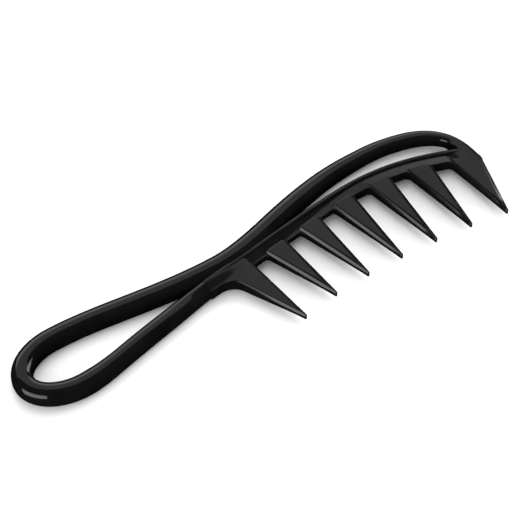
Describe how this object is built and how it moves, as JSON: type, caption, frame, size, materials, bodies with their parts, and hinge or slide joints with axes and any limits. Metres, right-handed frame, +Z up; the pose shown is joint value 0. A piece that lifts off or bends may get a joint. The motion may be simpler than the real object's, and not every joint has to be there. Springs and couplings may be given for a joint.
{
  "type": "wide tooth comb",
  "caption": "Glossy black wide tooth comb with an open loop handle, a curved back rail over a crescent slot, and long tapered teeth.",
  "frame": {"origin": "centre of the comb's outline, on the surface that the comb lies on", "axes": "+X along the comb from the loop handle to the nose, +Y towards the back rail (the teeth point to -Y), +Z up from the surface"},
  "size_m": [0.221, 0.061, 0.0088],
  "materials": {
    "black_plastic": "polished moulded black plastic, high gloss",
    "trimmed_plastic": "black plastic, dull where the gate was trimmed"
  },
  "bodies": {
    "root": {"handle_bow": "black_plastic", "upper_arm": "black_plastic", "lower_arm": "black_plastic", "waist": "black_plastic", "back_rail": "black_plastic", "nose_bend": "black_plastic", "nose_plate": "black_plastic", "rim_bead": "black_plastic", "tooth_web": "black_plastic", "tooth_1": "black_plastic", "tooth_2": "black_plastic", "tooth_3": "black_plastic", "tooth_4": "black_plastic", "tooth_5": "black_plastic", "tooth_6": "black_plastic", "tooth_7": "black_plastic", "gate_nub": "trimmed_plastic"}
  },
  "joints": []
}
